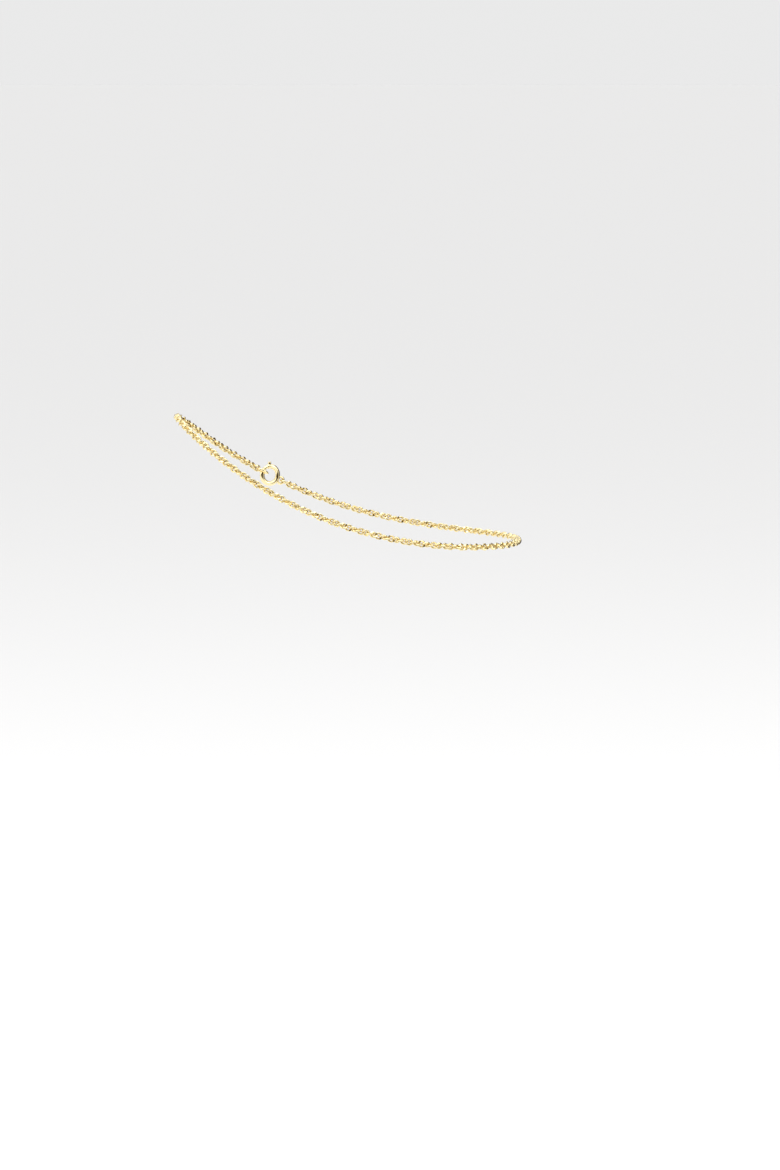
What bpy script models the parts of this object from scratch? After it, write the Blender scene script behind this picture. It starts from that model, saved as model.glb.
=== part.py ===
"""A thin twisted curb chain anklet in the form that it has when worn.

Metres. +Z is up, +X is the front, and -Y is the side that is seen.
The origin is midway between the middle of the back, where the chain is highest, and that of the front.
"""

import math

import bmesh
import bpy
from mathutils import Matrix, Vector

# The loop, measured on the chain's centreline
LOOP_DEPTH = 0.0852
LOOP_WIDTH = 0.0670
BACK_RISE = 0.0309
SIDE_SAG = 0.0096
SHOULDER_LIFT = 0.0005
BACK_TAPER = 0.20

# The chain, over its widest twists
CHAIN_WIDTH = 0.0019
POINT_SPACING_IN_WIDTHS = 2.4

# The clasp, a round spring ring with an eye and a thumb nub
CLASP_PLACE = math.radians(62)
CLASP_INNER_WIDTH = 0.0032
CLASP_WIRE = 0.0012
EYE_WIRE = 0.0006
NUB_PLACE = math.radians(62)
NUB_WIDTH = 0.0008
NUB_HEIGHT = 0.0006

# The jump rings at the two ends of the chain
CLASP_RING_INNER_WIDTH = 0.0020
CLASP_RING_WIRE = 0.0005
CATCH_RING_INNER_WIDTH = 0.0024
CATCH_RING_WIRE = 0.0006

# The space left between two pieces that would touch
GAP = 0.0003

# Faces round each ring and round each wire
RING_SIDES = 32
SMALL_RING_SIDES = 24
WIRE_SIDES = 12
SMALL_WIRE_SIDES = 8

GOLD = (0.88, 0.62, 0.26, 1.0)
GOLD_ROUGHNESS = 0.22
LOOP_STEPS = 1440


def loop_point(turn):
    """A point of the centreline: turn 0 is the middle of the back, a quarter turn the side that is seen."""
    backwards = math.cos(turn)
    sidewards = math.sin(turn)
    x = -LOOP_DEPTH / 2 * backwards
    y = -LOOP_WIDTH / 2 * sidewards * (1 - BACK_TAPER * backwards)
    z = (BACK_RISE / 2 - SHOULDER_LIFT) * backwards + SHOULDER_LIFT * math.cos(3 * turn)
    return Vector((x, y, z - SIDE_SAG * sidewards**2))


def measured_loop():
    """The distance along the centreline from the clasp's middle, at even steps of turn."""
    start = -CLASP_PLACE
    distances = [0.0]
    for step in range(LOOP_STEPS):
        here = loop_point(start + 2 * math.pi * step / LOOP_STEPS)
        there = loop_point(start + 2 * math.pi * (step + 1) / LOOP_STEPS)
        distances.append(distances[-1] + (there - here).length)
    return distances


DISTANCES = measured_loop()
LOOP_LENGTH = DISTANCES[-1]


def turn_at(distance):
    """The turn that lies this far along the centreline from the clasp's middle."""
    distance = distance % LOOP_LENGTH
    step = 0
    while DISTANCES[step + 1] < distance:
        step += 1
    share = (distance - DISTANCES[step]) / (DISTANCES[step + 1] - DISTANCES[step])
    return -CLASP_PLACE + 2 * math.pi * (step + share) / LOOP_STEPS


def seat(distance):
    """A frame on the centreline: X runs along it, Z points out of the loop, Y across both."""
    turn = turn_at(distance)
    nudge = math.pi / LOOP_STEPS
    along = (loop_point(turn + nudge) - loop_point(turn - nudge)).normalized()
    out = along.cross(Vector((0, 0, 1))).normalized()
    if out.dot(loop_point(turn)) < 0:
        out.negate()
    across = out.cross(along)
    turned = Matrix((along, across, out)).transposed().to_4x4()
    return Matrix.Translation(loop_point(turn)) @ turned


def clear_scene():
    for thing in list(bpy.data.objects):
        bpy.data.objects.remove(thing)


def new_collection(name):
    collection = bpy.data.collections.new(name)
    bpy.context.scene.collection.children.link(collection)
    return collection


def gold(name):
    material = bpy.data.materials.new(name)
    material.use_nodes = True
    shader = material.node_tree.nodes["Principled BSDF"]
    shader.inputs["Base Color"].default_value = GOLD
    shader.inputs["Metallic"].default_value = 1.0
    shader.inputs["Roughness"].default_value = GOLD_ROUGHNESS
    return material


def ring_mesh(name, inner_width, wire, ring_sides, wire_sides):
    """A closed round ring in its own XY plane: a wire's circle spun once about Z."""
    shape = bmesh.new()
    bmesh.ops.create_circle(
        shape,
        segments=wire_sides,
        radius=wire / 2,
        matrix=Matrix.Translation(((inner_width + wire) / 2, 0, 0)) @ Matrix.Rotation(math.pi / 2, 4, "X"),
    )
    bmesh.ops.spin(
        shape,
        geom=shape.verts[:] + shape.edges[:],
        cent=(0, 0, 0),
        axis=(0, 0, 1),
        angle=2 * math.pi,
        steps=ring_sides,
        use_merge=True,
    )
    bmesh.ops.recalc_face_normals(shape, faces=shape.faces[:])
    mesh = bpy.data.meshes.new(name)
    shape.to_mesh(mesh)
    shape.free()
    mesh.shade_smooth()
    return mesh


def place(name, data, matrix, collection):
    piece = bpy.data.objects.new(name, data)
    piece.matrix_world = matrix
    collection.objects.link(piece)
    return piece


def join_on(piece, other):
    """Fuses a helper solid to the piece, and keeps the helper out of the picture."""
    other.hide_render = True
    other.display_type = "WIRE"
    union = piece.modifiers.new(other.name, "BOOLEAN")
    union.operation = "UNION"
    union.solver = "EXACT"
    union.object = other


def make_clasp(collection, helpers):
    """The clasp lies flat in the side of the loop, its eye towards the end of the chain."""
    clasp_mesh = ring_mesh("clasp", CLASP_INNER_WIDTH, CLASP_WIRE, RING_SIDES, WIRE_SIDES)
    clasp = place("clasp", clasp_mesh, seat(0), collection)
    clasp.data.materials.append(gold("clasp_gold"))

    eye_mesh = ring_mesh("clasp_eye", EYE_INNER_WIDTH, EYE_WIRE, SMALL_RING_SIDES, SMALL_WIRE_SIDES)
    eye = place("clasp_eye", eye_mesh, seat(0) @ Matrix.Translation((-EYE_DISTANCE, 0, 0)), helpers)
    join_on(clasp, eye)

    nub_shape = bmesh.new()
    nub_reach = CLASP_WIRE / 2 + NUB_HEIGHT
    bmesh.ops.create_cone(
        nub_shape,
        cap_ends=True,
        segments=WIRE_SIDES,
        radius1=NUB_WIDTH / 2,
        radius2=NUB_WIDTH / 2,
        depth=nub_reach,
        matrix=Matrix.Translation((0, 0, CLASP_MIDDLE_RADIUS + nub_reach / 2)),
    )
    nub_mesh = bpy.data.meshes.new("clasp_nub")
    nub_shape.to_mesh(nub_mesh)
    nub_shape.free()
    outwards = Matrix.Rotation(NUB_PLACE, 4, "Z") @ Matrix.Rotation(math.pi / 2, 4, "Y")
    nub = place("clasp_nub", nub_mesh, seat(0) @ outwards, helpers)
    join_on(clasp, nub)


def make_jump_ring(name, distance, inner_width, wire, collection):
    """A jump ring stands across the clasp: it lies in the plane of the chain and the outward line."""
    mesh = ring_mesh(name, inner_width, wire, SMALL_RING_SIDES, SMALL_WIRE_SIDES)
    ring = place(name, mesh, seat(distance) @ Matrix.Rotation(math.pi / 2, 4, "X"), collection)
    ring.data.materials.append(gold(name + "_gold"))


def make_chain(collection):
    """The chain's outer form: one round run from the catch ring, all the way round, to the clasp ring."""
    length = CHAIN_END - CHAIN_START
    spans = math.ceil(length / (POINT_SPACING_IN_WIDTHS * CHAIN_WIDTH))
    curve = bpy.data.curves.new("chain", "CURVE")
    curve.dimensions = "3D"
    curve.bevel_depth = CHAIN_WIDTH / 2
    curve.bevel_resolution = 2
    curve.use_fill_caps = True
    spline = curve.splines.new("POLY")
    spline.points.add(spans)
    for number, point in enumerate(spline.points):
        spot = seat(CHAIN_START + length * number / spans).translation
        point.co = (*spot, 1)
    spline.use_smooth = True
    curve.materials.append(gold("chain_gold"))
    place("chain", curve, Matrix.Identity(4), collection)


# The eye stands just off the clasp's outer side, and its hole clears the ring's wire all round
CLASP_MIDDLE_RADIUS = (CLASP_INNER_WIDTH + CLASP_WIRE) / 2
CLASP_OUTER_RADIUS = CLASP_INNER_WIDTH / 2 + CLASP_WIRE
EYE_INNER_WIDTH = CLASP_RING_WIRE + 2 * GAP
EYE_DISTANCE = CLASP_OUTER_RADIUS + EYE_INNER_WIDTH / 2

# Distances along the centreline, back from the clasp's middle to its ring, and on to the catch ring
CLASP_RING_DISTANCE = EYE_DISTANCE + (CLASP_RING_INNER_WIDTH + CLASP_RING_WIRE) / 2
CATCH_RING_DISTANCE = CLASP_INNER_WIDTH / 2 - GAP + CATCH_RING_INNER_WIDTH / 2
CHAIN_START = CATCH_RING_DISTANCE + CATCH_RING_INNER_WIDTH / 2 + CATCH_RING_WIRE + GAP
CHAIN_END = LOOP_LENGTH - CLASP_RING_DISTANCE - CLASP_RING_INNER_WIDTH / 2 - CLASP_RING_WIRE - GAP

clear_scene()
anklet = new_collection("chain_anklet")
anklet_helpers = new_collection("chain_anklet_helpers")
make_chain(anklet)
make_clasp(anklet, anklet_helpers)
make_jump_ring("clasp_ring", -CLASP_RING_DISTANCE, CLASP_RING_INNER_WIDTH, CLASP_RING_WIRE, anklet)
make_jump_ring("catch_ring", CATCH_RING_DISTANCE, CATCH_RING_INNER_WIDTH, CATCH_RING_WIRE, anklet)
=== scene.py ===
"""The looks of a thin twisted curb chain anklet: its links, its two jump rings and its spring ring clasp.

Metres. +Z is up, +X is the front, and -Y is the side that is seen.
"""

import math
import random

import bmesh
import bpy
from mathutils import Matrix, Vector


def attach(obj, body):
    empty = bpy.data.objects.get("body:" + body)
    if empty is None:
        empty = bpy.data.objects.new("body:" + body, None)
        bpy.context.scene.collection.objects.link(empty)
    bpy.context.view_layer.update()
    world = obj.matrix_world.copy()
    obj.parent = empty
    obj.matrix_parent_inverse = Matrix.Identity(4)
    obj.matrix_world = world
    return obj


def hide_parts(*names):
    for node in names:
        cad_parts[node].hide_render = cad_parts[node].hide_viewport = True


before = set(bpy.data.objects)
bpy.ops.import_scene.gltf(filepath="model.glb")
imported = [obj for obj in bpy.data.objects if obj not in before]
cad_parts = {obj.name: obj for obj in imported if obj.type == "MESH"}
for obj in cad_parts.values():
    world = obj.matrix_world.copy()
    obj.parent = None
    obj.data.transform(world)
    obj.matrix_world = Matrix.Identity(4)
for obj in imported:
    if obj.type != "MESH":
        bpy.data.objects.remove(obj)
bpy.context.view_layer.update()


# The chain. About 220 short oval links of round brass wire, each wound a little about its own length and
# hooked through the next, so that the row of links turns round its own middle like a twisted ribbon.
# Both faces of every link are cut flat with a diamond tool, and the whole is polished and gold plated.
LOOP_DEPTH = 0.0852
LOOP_WIDTH = 0.0670
BACK_RISE = 0.0309
SIDE_SAG = 0.0096
SHOULDER_LIFT = 0.0005
BACK_TAPER = 0.20
CLASP_PLACE = math.radians(62)
LOOP_STEPS = 1440

CHAIN_WIDTH = 0.0019
LINK_WIRE = 0.0005
LINK_LENGTH = 0.00217
LINK_PITCH = 0.00109
LINK_WIND = math.radians(-28)
TWIST_PER_LINK = math.radians(52.5)
TWIST_DRIFT = math.radians(40)
TWIST_UNEVENNESS = math.radians(8)
SHORT_WAVE = 0.61
LONG_WAVE = 0.23
LONG_WAVE_START = 1.0
LINK_PLAY = math.radians(0.8)
PLAY_SEED = 7
FACE_CUT = 0.00006
LINK_STEPS = 14
LINK_WIRE_SIDES = 6

CLASP_INNER_WIDTH = 0.0032
CLASP_WIRE = 0.0012
CLASP_RING_INNER_WIDTH = 0.0020
CLASP_RING_WIRE = 0.0005
CATCH_RING_INNER_WIDTH = 0.0024
CATCH_RING_WIRE = 0.0006
GAP = 0.0003
HOOK_PLAY = 0.00003

# The gold goes from bright to deep with random clouds of tone and with the recess attribute: painted shade in
# the chain's recesses and the clasp's slot, stains at the rings' seams and the clasp's solder joint.
BRIGHT_GOLD = (0.95, 0.815, 0.48, 1)
DEEP_GOLD = (0.87, 0.715, 0.355, 1)
CLOUD_SCALE = 1400.0
CLOUD_DETAIL = 4.0
CLOUD_DEPTH = 0.35
DEEPEN_FROM = 0.15
DEEPEN_TO = 0.85
SMUDGE_SCALE = 500.0
SMUDGE_DETAIL = 5.0
SMUDGE_FROM = 0.35
SMUDGE_TO = 0.70
SCRATCH_SCALE = 26000.0
SCRATCH_DETAIL = 2.0
SCRATCH_STRETCH = (1.0, 0.12, 1.0)
SCRATCH_STRENGTH = 0.5
SCRATCH_DEPTH = 0.000004
CHAIN_POLISHED = 0.10
CHAIN_SMUDGED = 0.20


def loop_point(turn):
    """A point of the centreline: turn 0 is the middle of the back, a quarter turn the side seen."""
    backwards = math.cos(turn)
    sidewards = math.sin(turn)
    x = -LOOP_DEPTH / 2 * backwards
    y = -LOOP_WIDTH / 2 * sidewards * (1 - BACK_TAPER * backwards)
    z = (BACK_RISE / 2 - SHOULDER_LIFT) * backwards + SHOULDER_LIFT * math.cos(3 * turn)
    return Vector((x, y, z - SIDE_SAG * sidewards**2))


def turn_of_step(step):
    return -CLASP_PLACE + 2 * math.pi * step / LOOP_STEPS


distances = [0.0]
for step in range(LOOP_STEPS):
    stride = loop_point(turn_of_step(step + 1)) - loop_point(turn_of_step(step))
    distances.append(distances[-1] + stride.length)
loop_length = distances[-1]


def seat(distance):
    """A frame on the centreline: X runs along it, Z points out of the loop, Y across both."""
    distance = distance % loop_length
    step = 0
    while distances[step + 1] < distance:
        step += 1
    share = (distance - distances[step]) / (distances[step + 1] - distances[step])
    turn = turn_of_step(step + share)
    nudge = math.pi / LOOP_STEPS
    along = (loop_point(turn + nudge) - loop_point(turn - nudge)).normalized()
    out = along.cross(Vector((0, 0, 1))).normalized()
    if out.dot(loop_point(turn)) < 0:
        out.negate()
    across = out.cross(along)
    turned = Matrix((along, across, out)).transposed().to_4x4()
    return Matrix.Translation(loop_point(turn)) @ turned


def spin_wire(shape, inner_width, wire, ring_steps, wire_sides, start=0.0, sweep=2 * math.pi):
    """Spins a round wire about Z, into a ring or, for less than a whole turn, an open bow."""
    stand = Matrix.Translation(((inner_width + wire) / 2, 0, 0)) @ Matrix.Rotation(math.pi / 2, 4, "X")
    section = bmesh.ops.create_circle(
        shape,
        segments=wire_sides,
        radius=wire / 2,
        matrix=Matrix.Rotation(start, 4, "Z") @ stand,
    )
    edges = list(dict.fromkeys(edge for vert in section["verts"] for edge in vert.link_edges))
    bmesh.ops.spin(
        shape,
        geom=section["verts"] + edges,
        cent=(0, 0, 0),
        axis=(0, 0, 1),
        angle=sweep,
        steps=ring_steps,
        use_merge=sweep >= 2 * math.pi,
    )


def cut_face(shape, height, side):
    """Cuts off what stands past a height on one side, and closes the cut with flat, sharp-edged faces."""
    cut = bmesh.ops.bisect_plane(
        shape,
        geom=shape.verts[:] + shape.edges[:] + shape.faces[:],
        plane_co=(0, 0, side * height),
        plane_no=(0, 0, side),
        clear_outer=True,
    )
    rim = [part for part in cut["geom_cut"] if isinstance(part, bmesh.types.BMEdge)]
    closed = bmesh.ops.holes_fill(shape, edges=rim, sides=0)
    for face in closed["faces"]:
        face.smooth = False
        for edge in face.edges:
            edge.smooth = False


def link_mesh():
    """One link about the origin, its length along X and its width along Y."""
    shape = bmesh.new()
    spin_wire(shape, CHAIN_WIDTH - 2 * LINK_WIRE, LINK_WIRE, LINK_STEPS, LINK_WIRE_SIDES)
    bmesh.ops.recalc_face_normals(shape, faces=shape.faces[:])
    for face in shape.faces:
        face.smooth = True
    stretch = (LINK_LENGTH - CHAIN_WIDTH) / 2
    for vert in shape.verts:
        wound = max(-1.0, min(1.0, vert.co.x / (CHAIN_WIDTH / 2 - LINK_WIRE / 2)))
        vert.co.x += stretch * max(-1.0, min(1.0, vert.co.x / (CHAIN_WIDTH / 2 - LINK_WIRE)))
        vert.co.rotate(Matrix.Rotation(LINK_WIND * wound, 3, "X"))
    face_height = max(vert.co.z for vert in shape.verts) - FACE_CUT
    cut_face(shape, face_height, 1)
    cut_face(shape, face_height, -1)
    # Painted shade: the gold is made darker towards the chain's middle, where the links hide each other from
    # the light.
    recess = shape.verts.layers.float.new("recess")
    for vert in shape.verts:
        reach = math.hypot(vert.co.y, vert.co.z) / (CHAIN_WIDTH / 2)
        vert[recess] = max(0.0, 1.0 - reach)
    mesh = bpy.data.meshes.new("link")
    shape.to_mesh(mesh)
    shape.free()
    return mesh


# The first link hooks round the catch ring's wire, and the last one round the clasp ring's. The thick
# wire of the catch ring takes up room in the first link, so that the second one hangs a little further on.
eye_inner_width = CLASP_RING_WIRE + 2 * GAP
eye_distance = CLASP_INNER_WIDTH / 2 + CLASP_WIRE + eye_inner_width / 2
clasp_ring_distance = eye_distance + (CLASP_RING_INNER_WIDTH + CLASP_RING_WIRE) / 2
catch_ring_distance = CLASP_INNER_WIDTH / 2 - GAP + CATCH_RING_INNER_WIDTH / 2
hook = HOOK_PLAY + LINK_WIRE - LINK_LENGTH / 2
first_link = catch_ring_distance + CATCH_RING_INNER_WIDTH / 2 - hook
last_link = loop_length - clasp_ring_distance - CLASP_RING_INNER_WIDTH / 2 + hook
catch_ring_end = catch_ring_distance + CATCH_RING_INNER_WIDTH / 2 + CATCH_RING_WIRE
second_link = catch_ring_end + HOOK_PLAY + LINK_LENGTH / 2
strides = round((last_link - second_link) / LINK_PITCH)
pitch = (last_link - second_link) / strides
link_places = [first_link] + [second_link + number * pitch for number in range(strides + 1)]
link_count = len(link_places)

# Whole half turns between the two hooked ends bring both of them square to their rings
half_turns = round(((link_count - 1) * TWIST_PER_LINK + 2 * LINK_WIND) / math.pi)
twist = (half_turns * math.pi - 2 * LINK_WIND) / (link_count - 1)

one_link = link_mesh()
play = random.Random(PLAY_SEED)
chain_shape = bmesh.new()
for number, link_place in enumerate(link_places):
    known = len(chain_shape.verts)
    chain_shape.from_mesh(one_link)
    chain_shape.verts.ensure_lookup_table()
    wave = (math.sin(number * SHORT_WAVE) + math.sin(number * LONG_WAVE + LONG_WAVE_START)) / 2
    uneven = (TWIST_DRIFT + TWIST_UNEVENNESS * wave) * math.sin(math.pi * number / (link_count - 1))
    roll = Matrix.Rotation(LINK_WIND + number * twist + uneven, 4, "X")
    nod = Matrix.Rotation(play.uniform(-LINK_PLAY, LINK_PLAY), 4, "Y")
    sway = Matrix.Rotation(play.uniform(-LINK_PLAY, LINK_PLAY), 4, "Z")
    bmesh.ops.transform(
        chain_shape,
        matrix=seat(link_place) @ roll @ nod @ sway,
        verts=chain_shape.verts[known:],
    )
chain_mesh = bpy.data.meshes.new("chain_links")
chain_shape.to_mesh(chain_mesh)
chain_shape.free()
bpy.data.meshes.remove(one_link)


def gold_plate_and_shade_group():
    """Polished gold plate: its colour, darkened by painted shade and stains from the recess attribute and by
    random clouds, its smudges, and its polishing scratches.
    """
    group = bpy.data.node_groups.new("gold_plate_and_shade", "ShaderNodeTree")
    for name in ("Recess", "Polished", "Smudged"):
        group.interface.new_socket(name, in_out="INPUT", socket_type="NodeSocketFloat")
    for name in ("Bright gold", "Deep gold"):
        group.interface.new_socket(name, in_out="INPUT", socket_type="NodeSocketColor")
    group.interface.new_socket("Colour", in_out="OUTPUT", socket_type="NodeSocketColor")
    for name in ("Roughness", "Height"):
        group.interface.new_socket(name, in_out="OUTPUT", socket_type="NodeSocketFloat")
    given = group.nodes.new("NodeGroupInput")
    result = group.nodes.new("NodeGroupOutput")
    place = group.nodes.new("ShaderNodeTexCoord")

    clouds = group.nodes.new("ShaderNodeTexNoise")
    clouds.inputs["Scale"].default_value = CLOUD_SCALE
    clouds.inputs["Detail"].default_value = CLOUD_DETAIL
    group.links.new(place.outputs["Object"], clouds.inputs["Vector"])
    # How far to darken: the recess attribute, which carries painted shade and stains, with random clouds of
    # tone added.
    depth = group.nodes.new("ShaderNodeMath")
    depth.operation = "MULTIPLY_ADD"
    depth.inputs[1].default_value = CLOUD_DEPTH
    group.links.new(clouds.outputs["Fac"], depth.inputs[0])
    group.links.new(given.outputs["Recess"], depth.inputs[2])
    deepen = group.nodes.new("ShaderNodeMapRange")
    deepen.inputs["From Min"].default_value = DEEPEN_FROM
    deepen.inputs["From Max"].default_value = DEEPEN_TO
    group.links.new(depth.outputs["Value"], deepen.inputs["Value"])
    colour = group.nodes.new("ShaderNodeMix")
    colour.data_type = "RGBA"
    group.links.new(deepen.outputs["Result"], colour.inputs["Factor"])
    group.links.new(given.outputs["Bright gold"], colour.inputs["A"])
    group.links.new(given.outputs["Deep gold"], colour.inputs["B"])
    group.links.new(colour.outputs["Result"], result.inputs["Colour"])

    smudges = group.nodes.new("ShaderNodeTexNoise")
    smudges.inputs["Scale"].default_value = SMUDGE_SCALE
    smudges.inputs["Detail"].default_value = SMUDGE_DETAIL
    group.links.new(place.outputs["Object"], smudges.inputs["Vector"])
    gloss = group.nodes.new("ShaderNodeMapRange")
    gloss.inputs["From Min"].default_value = SMUDGE_FROM
    gloss.inputs["From Max"].default_value = SMUDGE_TO
    group.links.new(smudges.outputs["Fac"], gloss.inputs["Value"])
    group.links.new(given.outputs["Polished"], gloss.inputs["To Min"])
    group.links.new(given.outputs["Smudged"], gloss.inputs["To Max"])
    group.links.new(gloss.outputs["Result"], result.inputs["Roughness"])

    lengthen = group.nodes.new("ShaderNodeMapping")
    lengthen.inputs["Scale"].default_value = SCRATCH_STRETCH
    group.links.new(place.outputs["Object"], lengthen.inputs["Vector"])
    scratches = group.nodes.new("ShaderNodeTexNoise")
    scratches.inputs["Scale"].default_value = SCRATCH_SCALE
    scratches.inputs["Detail"].default_value = SCRATCH_DETAIL
    group.links.new(lengthen.outputs["Vector"], scratches.inputs["Vector"])
    group.links.new(scratches.outputs["Fac"], result.inputs["Height"])
    return group


gold_plate_and_shade = gold_plate_and_shade_group()


def gold_material(name, polished, smudged):
    """A metal with the gold finish, darkened by the mesh's recess attribute: painted shade in the chain's
    recesses and the clasp's slot, stains at seams and solder.
    """
    material = bpy.data.materials.new(name)
    material.use_nodes = True
    tree = material.node_tree
    shader = tree.nodes["Principled BSDF"]
    shader.inputs["Metallic"].default_value = 1.0
    recess = tree.nodes.new("ShaderNodeAttribute")
    recess.attribute_name = "recess"
    finish = tree.nodes.new("ShaderNodeGroup")
    finish.node_tree = gold_plate_and_shade
    finish.inputs["Bright gold"].default_value = BRIGHT_GOLD
    finish.inputs["Deep gold"].default_value = DEEP_GOLD
    finish.inputs["Polished"].default_value = polished
    finish.inputs["Smudged"].default_value = smudged
    bump = tree.nodes.new("ShaderNodeBump")
    bump.inputs["Strength"].default_value = SCRATCH_STRENGTH
    bump.inputs["Distance"].default_value = SCRATCH_DEPTH
    tree.links.new(recess.outputs["Fac"], finish.inputs["Recess"])
    tree.links.new(finish.outputs["Colour"], shader.inputs["Base Color"])
    tree.links.new(finish.outputs["Roughness"], shader.inputs["Roughness"])
    tree.links.new(finish.outputs["Height"], bump.inputs["Height"])
    tree.links.new(bump.outputs["Normal"], shader.inputs["Normal"])
    return material


def finished_piece(mesh, material, node):
    """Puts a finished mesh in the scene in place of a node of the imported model."""
    mesh.materials.append(material)
    piece = bpy.data.objects.new(mesh.name, mesh)
    bpy.context.scene.collection.objects.link(piece)
    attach(piece, "root")
    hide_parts(node)


chain_gold = gold_material("cut_and_plated_gold", CHAIN_POLISHED, CHAIN_SMUDGED)
finished_piece(chain_mesh, chain_gold, "chain")


# The two jump rings. Each is a bow of round brass wire, gold plated, whose ends are pressed together, so
# that a hairline shows where they meet. The catch ring holds the first link, and the clasp closes in it.
# The clasp ring ties the last link to the clasp's eye.
JUMP_RING_STEPS = 48
JUMP_RING_WIRE_SIDES = 14
SEAM_GAP = 0.00003
SEAM_ROUNDING = 0.00003
SEAM_STAIN_REACH = 0.00025
CATCH_RING_SEAM = math.radians(118)
CLASP_RING_SEAM = math.radians(-104)
RING_POLISHED = 0.08
RING_SMUDGED = 0.18


def jump_ring_mesh(name, distance, inner_width, wire, seam):
    """A ring that stands in the plane of the chain and the outward line, with its seam at an angle in it."""
    shape = bmesh.new()
    middle_radius = (inner_width + wire) / 2
    opening = SEAM_GAP / middle_radius
    start = seam + opening / 2
    sweep = 2 * math.pi - opening
    spin_wire(shape, inner_width, wire, JUMP_RING_STEPS, JUMP_RING_WIRE_SIDES, start, sweep)
    ends = [edge for edge in shape.edges if edge.is_boundary]
    bmesh.ops.holes_fill(shape, edges=ends, sides=0)
    bmesh.ops.bevel(
        shape,
        geom=ends,
        offset=SEAM_ROUNDING,
        segments=2,
        affect="EDGES",
        profile=0.5,
        material=-1,
    )
    bmesh.ops.recalc_face_normals(shape, faces=shape.faces[:])
    recess = shape.verts.layers.float.new("recess")
    seam_point = Vector((middle_radius * math.cos(seam), middle_radius * math.sin(seam), 0))
    seam_along = Vector((-math.sin(seam), math.cos(seam), 0))
    for vert in shape.verts:
        from_seam = vert.co - seam_point
        near = from_seam.length < wire
        vert[recess] = max(0.0, 1 - abs(from_seam.dot(seam_along)) / SEAM_STAIN_REACH) if near else 0.0
    for face in shape.faces:
        face.smooth = True
    upright = seat(distance) @ Matrix.Rotation(math.pi / 2, 4, "X")
    bmesh.ops.transform(shape, matrix=upright, verts=shape.verts[:])
    mesh = bpy.data.meshes.new(name)
    shape.to_mesh(mesh)
    shape.free()
    return mesh


ring_gold = gold_material("plated_ring_gold", RING_POLISHED, RING_SMUDGED)
catch_ring_mesh = jump_ring_mesh(
    "catch_jump_ring", catch_ring_distance, CATCH_RING_INNER_WIDTH, CATCH_RING_WIRE, CATCH_RING_SEAM
)
finished_piece(catch_ring_mesh, ring_gold, "catch_ring")
clasp_ring_mesh = jump_ring_mesh(
    "clasp_jump_ring", -clasp_ring_distance, CLASP_RING_INNER_WIDTH, CLASP_RING_WIRE, CLASP_RING_SEAM
)
finished_piece(clasp_ring_mesh, ring_gold, "clasp_ring")


# The clasp. A spring ring bent from thin brass tube, gold plated. A thinner bolt closes its gate, and is
# drawn back by the thumb nub, which slides in a slot. The eye is a small closed ring soldered to its side.
EYE_WIRE = 0.0006
NUB_PLACE = math.radians(62)
NUB_WIDTH = 0.0008
NUB_HEIGHT = 0.0006
NUB_SIDES = 24
GATE_START = math.radians(14)
GATE_END = math.radians(46)
BOLT_WIRE = 0.00086
SLOT_END = math.radians(100)
SLOT_LIP = 0.00006
SLOT_DEPTH = 0.00022
SLOT_SHADE = 0.8
CLASP_STEPS = 64
CLASP_WIRE_SIDES = 20
TUBE_END_ROUNDING = 0.00007
NUB_ROUNDING = 0.00018
SHARP_EDGE = math.radians(38)
SOLDER_REACH = 0.00045
SLIVER = 0.0000005
CLASP_POLISHED = 0.07
CLASP_SMUDGED = 0.17

clasp_middle_radius = (CLASP_INNER_WIDTH + CLASP_WIRE) / 2
clasp_outer_radius = CLASP_INNER_WIDTH / 2 + CLASP_WIRE


def angle_of(point):
    """The angle of a point round the clasp, from the side of the catch ring."""
    return math.atan2(point.y, point.x) % (2 * math.pi)


def clasp_body_mesh():
    """The tube and the bolt as one closed wire of two widths, with the slot sunk in the tube's outer side."""
    shape = bmesh.new()
    gate = GATE_END - GATE_START
    bolt_steps = math.ceil(CLASP_STEPS * gate / (2 * math.pi))
    tube = 2 * math.pi - gate
    spin_wire(shape, CLASP_INNER_WIDTH, CLASP_WIRE, CLASP_STEPS, CLASP_WIRE_SIDES, GATE_END, tube)
    tube_ends = [edge for edge in shape.edges if edge.is_boundary]
    bolt_inner_width = 2 * clasp_middle_radius - BOLT_WIRE
    spin_wire(shape, bolt_inner_width, BOLT_WIRE, bolt_steps, CLASP_WIRE_SIDES, GATE_START, gate)
    open_edges = [edge for edge in shape.edges if edge.is_boundary]
    halfway = (GATE_START + GATE_END) / 2
    for side in (-1, 1):
        step_edges = [edge for edge in open_edges if side * (angle_of(edge.verts[0].co) - halfway) > 0]
        bmesh.ops.bridge_loops(shape, edges=step_edges)
    bmesh.ops.recalc_face_normals(shape, faces=shape.faces[:])
    row_width = CLASP_WIRE / 2 * math.sin(2 * math.pi / CLASP_WIRE_SIDES)
    slot_faces = [
        face
        for face in shape.faces
        if NUB_PLACE < angle_of(face.calc_center_median()) < SLOT_END
        and abs(face.calc_center_median().z) < row_width
        and face.calc_center_median().length > clasp_middle_radius
    ]
    bmesh.ops.inset_region(
        shape, faces=slot_faces, thickness=SLOT_LIP, depth=-SLOT_DEPTH, use_even_offset=True
    )
    bmesh.ops.bevel(
        shape,
        geom=[edge for edge in tube_ends if edge.is_valid],
        offset=TUBE_END_ROUNDING,
        segments=3,
        affect="EDGES",
        profile=0.5,
        material=-1,
    )
    mesh = bpy.data.meshes.new("clasp_body")
    shape.to_mesh(mesh)
    shape.free()
    return mesh


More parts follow.
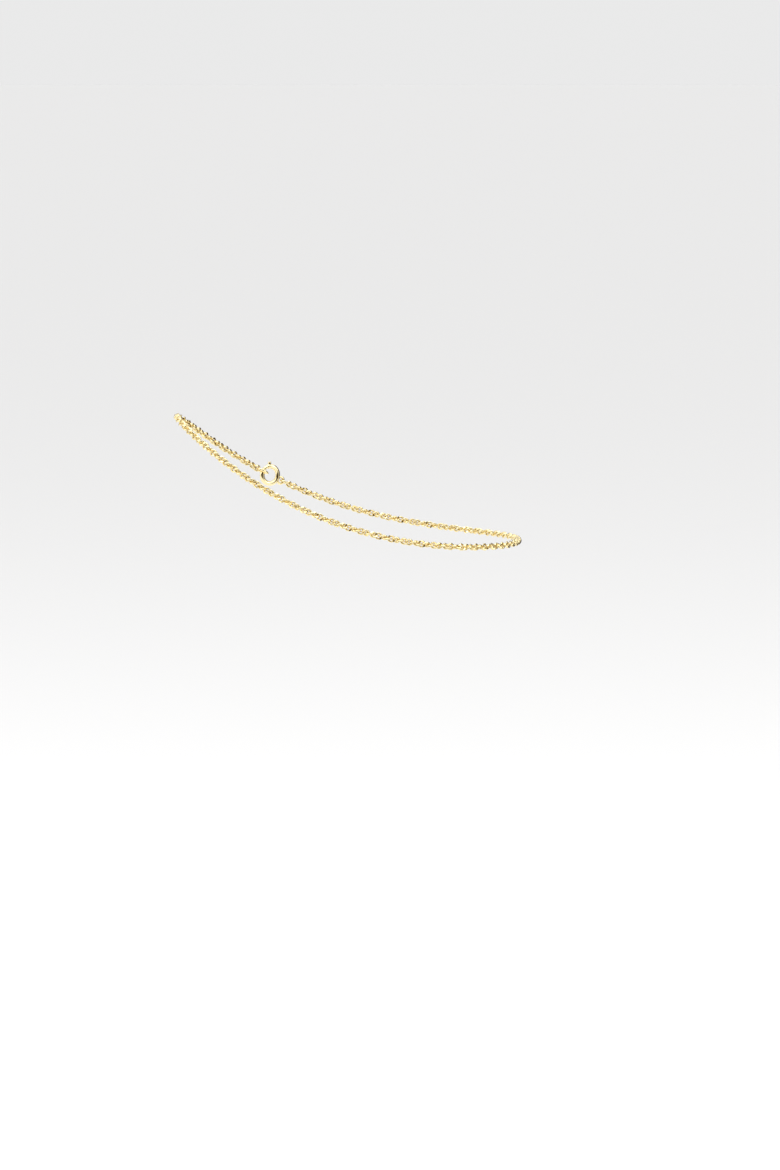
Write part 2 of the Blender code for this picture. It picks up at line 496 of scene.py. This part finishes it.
def clasp_eye_mesh():
    shape = bmesh.new()
    spin_wire(shape, eye_inner_width, EYE_WIRE, CLASP_STEPS // 2, CLASP_WIRE_SIDES)
    bmesh.ops.translate(shape, verts=shape.verts[:], vec=(-eye_distance, 0, 0))
    bmesh.ops.recalc_face_normals(shape, faces=shape.faces[:])
    mesh = bpy.data.meshes.new("clasp_eye")
    shape.to_mesh(mesh)
    shape.free()
    return mesh


def thumb_nub_mesh():
    """A short peg with a rounded head, from the middle of the tube outwards."""
    shape = bmesh.new()
    length = CLASP_WIRE / 2 + NUB_HEIGHT
    bmesh.ops.create_cone(
        shape,
        cap_ends=True,
        segments=NUB_SIDES,
        radius1=NUB_WIDTH / 2,
        radius2=NUB_WIDTH / 2,
        depth=length,
        matrix=Matrix.Translation((0, 0, length / 2)),
    )
    head = [edge for edge in shape.edges if min(vert.co.z for vert in edge.verts) > length / 2]
    bmesh.ops.bevel(
        shape, geom=head, offset=NUB_ROUNDING, segments=4, affect="EDGES", profile=0.5, material=-1
    )
    stand = Matrix.Rotation(NUB_PLACE, 4, "Z") @ Matrix.Translation((clasp_middle_radius, 0, 0))
    bmesh.ops.transform(shape, matrix=stand @ Matrix.Rotation(math.pi / 2, 4, "Y"), verts=shape.verts[:])
    mesh = bpy.data.meshes.new("thumb_nub")
    shape.to_mesh(mesh)
    shape.free()
    return mesh


def soldered_together(name, body_mesh, other_meshes):
    """One closed mesh of a body and of what is fixed to it."""
    body = bpy.data.objects.new(name, body_mesh)
    bpy.context.scene.collection.objects.link(body)
    others = []
    for mesh in other_meshes:
        other = bpy.data.objects.new(mesh.name, mesh)
        bpy.context.scene.collection.objects.link(other)
        others.append(other)
        union = body.modifiers.new(mesh.name, "BOOLEAN")
        union.operation = "UNION"
        union.solver = "EXACT"
        union.object = other
    graph = bpy.context.evaluated_depsgraph_get()
    joined = bpy.data.meshes.new_from_object(body.evaluated_get(graph))
    joined.name = name
    for thing in (body, *others):
        spent = thing.data
        bpy.data.objects.remove(thing)
        bpy.data.meshes.remove(spent)
    return joined


fixed_on = [clasp_eye_mesh(), thumb_nub_mesh()]
clasp_mesh = soldered_together("spring_ring_clasp", clasp_body_mesh(), fixed_on)
clasp_shape = bmesh.new()
clasp_shape.from_mesh(clasp_mesh)
bmesh.ops.dissolve_degenerate(clasp_shape, edges=clasp_shape.edges[:], dist=SLIVER)
clasp_recess = clasp_shape.verts.layers.float.new("recess")
solder_joint = Vector((-clasp_outer_radius, 0, 0))
for vert in clasp_shape.verts:
    below_rim = clasp_outer_radius - vert.co.length
    along_slot = NUB_PLACE < angle_of(vert.co) < SLOT_END
    in_slot = along_slot and SLOT_LIP < below_rim < 2 * SLOT_DEPTH and abs(vert.co.z) < NUB_WIDTH / 4
    from_solder = (vert.co - solder_joint).length
    vert[clasp_recess] = SLOT_SHADE if in_slot else max(0.0, 1 - from_solder / SOLDER_REACH)
bmesh.ops.transform(clasp_shape, matrix=seat(0), verts=clasp_shape.verts[:])
for face in clasp_shape.faces:
    face.smooth = True
clasp_shape.to_mesh(clasp_mesh)
clasp_shape.free()
clasp_mesh.set_sharp_from_angle(angle=SHARP_EDGE)
clasp_gold = gold_material("plated_clasp_gold", CLASP_POLISHED, CLASP_SMUDGED)
finished_piece(clasp_mesh, clasp_gold, "clasp")


# The studio. A white floor runs on past the picture's edge, and white walls all round give a soft light.
# The room is open, and darker, on the camera's side and at two places behind the anklet, which gives the
# metal its darks. Three large lamps, above and at both sides, give it its brightest lights.
FLOOR_DROP = 0.148
FLOOR_REACH = 60.0
FLOOR_WHITE = 0.857
WALL_WHITE = 1.14
ROOM_DARK = (0.05, 0.033, 0.02, 1)
BACKGROUND = 0.82

# The room's dark openings: bearing from the camera's side, lift, half width, half height, how dark
NEAR_OPENING = (0.0, 0.09, 0.80, 0.42, 1.0)
FAR_OPENING = (math.radians(125), 0.05, 0.75, 0.55, 1.0)
BACK_OPENING = (math.radians(195), 0.12, 0.45, 0.30, 0.8)
OPENING_INNER_EDGE = 0.90
OPENING_OUTER_EDGE = 1.20
WITHOUT_DEPTH = 1000

TOP_LIGHT = (0, -0.1, 1.3)
TOP_LIGHT_SIZE = (0.9, 0.7)
TOP_LIGHT_POWER = 5
LEFT_LIGHT = (-1.2, -0.4, 0.5)
RIGHT_LIGHT = (1.2, -0.4, 0.5)
SIDE_LIGHT_SIZE = (0.5, 0.8)
SIDE_LIGHT_POWER = 3

floor_shape = bmesh.new()
bmesh.ops.create_circle(
    floor_shape,
    cap_ends=True,
    segments=64,
    radius=FLOOR_REACH,
    matrix=Matrix.Translation((0, 0, -FLOOR_DROP)),
)
floor_mesh = bpy.data.meshes.new("floor")
floor_shape.to_mesh(floor_mesh)
floor_shape.free()
paper = bpy.data.materials.new("white_floor")
paper.use_nodes = True
paper.node_tree.nodes["Principled BSDF"].inputs["Base Color"].default_value = (*[FLOOR_WHITE] * 3, 1)
paper.node_tree.nodes["Principled BSDF"].inputs["Roughness"].default_value = 1.0
paper.node_tree.nodes["Principled BSDF"].inputs["Specular IOR Level"].default_value = 0.0
floor_mesh.materials.append(paper)
floor = bpy.data.objects.new("floor", floor_mesh)
floor.visible_glossy = False
bpy.context.scene.collection.objects.link(floor)

world = bpy.data.worlds.new("studio")
world.use_nodes = True
bpy.context.scene.world = world
air = world.node_tree
direction = air.nodes.new("ShaderNodeTexCoord")


def darkness(bearing, lift, half_width, half_height, depth):
    """How dark the room is round a bearing from the camera's side, where no white wall stands."""
    aim = air.nodes.new("ShaderNodeMapping")
    aim.vector_type = "TEXTURE"
    aim.inputs["Location"].default_value = (0, 0, lift)
    aim.inputs["Rotation"].default_value = (0, 0, bearing)
    aim.inputs["Scale"].default_value = (half_width, WITHOUT_DEPTH, half_height)
    air.links.new(direction.outputs["Generated"], aim.inputs["Vector"])
    away = air.nodes.new("ShaderNodeVectorMath")
    away.operation = "LENGTH"
    air.links.new(aim.outputs["Vector"], away.inputs[0])
    opening = air.nodes.new("ShaderNodeMapRange")
    opening.interpolation_type = "SMOOTHSTEP"
    opening.inputs["From Min"].default_value = OPENING_INNER_EDGE
    opening.inputs["From Max"].default_value = OPENING_OUTER_EDGE
    opening.inputs["To Min"].default_value = depth
    opening.inputs["To Max"].default_value = 0.0
    air.links.new(away.outputs["Value"], opening.inputs["Value"])
    parts = air.nodes.new("ShaderNodeSeparateXYZ")
    air.links.new(aim.outputs["Vector"], parts.inputs["Vector"])
    this_side = air.nodes.new("ShaderNodeMath")
    this_side.operation = "LESS_THAN"
    this_side.inputs[1].default_value = 0.0
    air.links.new(parts.outputs["Y"], this_side.inputs[0])
    there = air.nodes.new("ShaderNodeMath")
    there.operation = "MULTIPLY"
    air.links.new(opening.outputs["Result"], there.inputs[0])
    air.links.new(this_side.outputs["Value"], there.inputs[1])
    return there.outputs["Value"]


dark = air.nodes.new("ShaderNodeMath")
dark.operation = "MAXIMUM"
air.links.new(darkness(*NEAR_OPENING), dark.inputs[0])
air.links.new(darkness(*FAR_OPENING), dark.inputs[1])
darkest = air.nodes.new("ShaderNodeMath")
darkest.operation = "MAXIMUM"
air.links.new(dark.outputs["Value"], darkest.inputs[0])
air.links.new(darkness(*BACK_OPENING), darkest.inputs[1])
tone = air.nodes.new("ShaderNodeMix")
tone.data_type = "RGBA"
tone.inputs["A"].default_value = (*[WALL_WHITE] * 3, 1)
tone.inputs["B"].default_value = ROOM_DARK
air.links.new(darkest.outputs["Value"], tone.inputs["Factor"])
seen = air.nodes.new("ShaderNodeLightPath")
backdrop = air.nodes.new("ShaderNodeMix")
backdrop.data_type = "RGBA"
backdrop.inputs["B"].default_value = (*[BACKGROUND] * 3, 1)
air.links.new(seen.outputs["Is Camera Ray"], backdrop.inputs["Factor"])
air.links.new(tone.outputs["Result"], backdrop.inputs["A"])
air.links.new(backdrop.outputs["Result"], air.nodes["Background"].inputs["Color"])


def softbox(name, place, size, power):
    """A large flat lamp that faces the anklet."""
    light = bpy.data.lights.new(name, "AREA")
    light.shape = "RECTANGLE"
    light.size = size[0]
    light.size_y = size[1]
    light.energy = power
    lamp = bpy.data.objects.new(name, light)
    lamp.location = place
    lamp.rotation_euler = (-Vector(place)).to_track_quat("-Z", "Y").to_euler()
    lamp.visible_camera = False
    bpy.context.scene.collection.objects.link(lamp)


softbox("top_light", TOP_LIGHT, TOP_LIGHT_SIZE, TOP_LIGHT_POWER)
softbox("left_light", LEFT_LIGHT, SIDE_LIGHT_SIZE, SIDE_LIGHT_POWER)
softbox("right_light", RIGHT_LIGHT, SIDE_LIGHT_SIZE, SIDE_LIGHT_POWER)


# The camera. It stands at the side of the anklet, a little above it, and looks through a long lens.
PHOTO_WIDTH = 780
PHOTO_HEIGHT = 1170
LOOP_MIDDLE_PIXEL = (347.75, 478.5)
PIXELS_PER_METRE = 4000
CAMERA_DISTANCE = 1.5
CAMERA_ELEVATION = math.radians(5)
SENSOR = 36

camera_data = bpy.data.cameras.new("camera")
camera_data.sensor_width = SENSOR
camera_data.lens = SENSOR * PIXELS_PER_METRE * CAMERA_DISTANCE / PHOTO_HEIGHT
ahead = Vector((0, math.cos(CAMERA_ELEVATION), -math.sin(CAMERA_ELEVATION)))
upward = Vector((0, math.sin(CAMERA_ELEVATION), math.cos(CAMERA_ELEVATION)))
to_the_right = (PHOTO_WIDTH / 2 - LOOP_MIDDLE_PIXEL[0]) / PIXELS_PER_METRE
lift = (LOOP_MIDDLE_PIXEL[1] - PHOTO_HEIGHT / 2) / PIXELS_PER_METRE
camera = bpy.data.objects.new("camera", camera_data)
camera.location = Vector((to_the_right, 0, 0)) + lift * upward - CAMERA_DISTANCE * ahead
camera.rotation_euler = (math.pi / 2 - CAMERA_ELEVATION, 0, 0)
bpy.context.scene.collection.objects.link(camera)
bpy.context.scene.camera = camera
bpy.context.scene.view_settings.view_transform = "Standard"
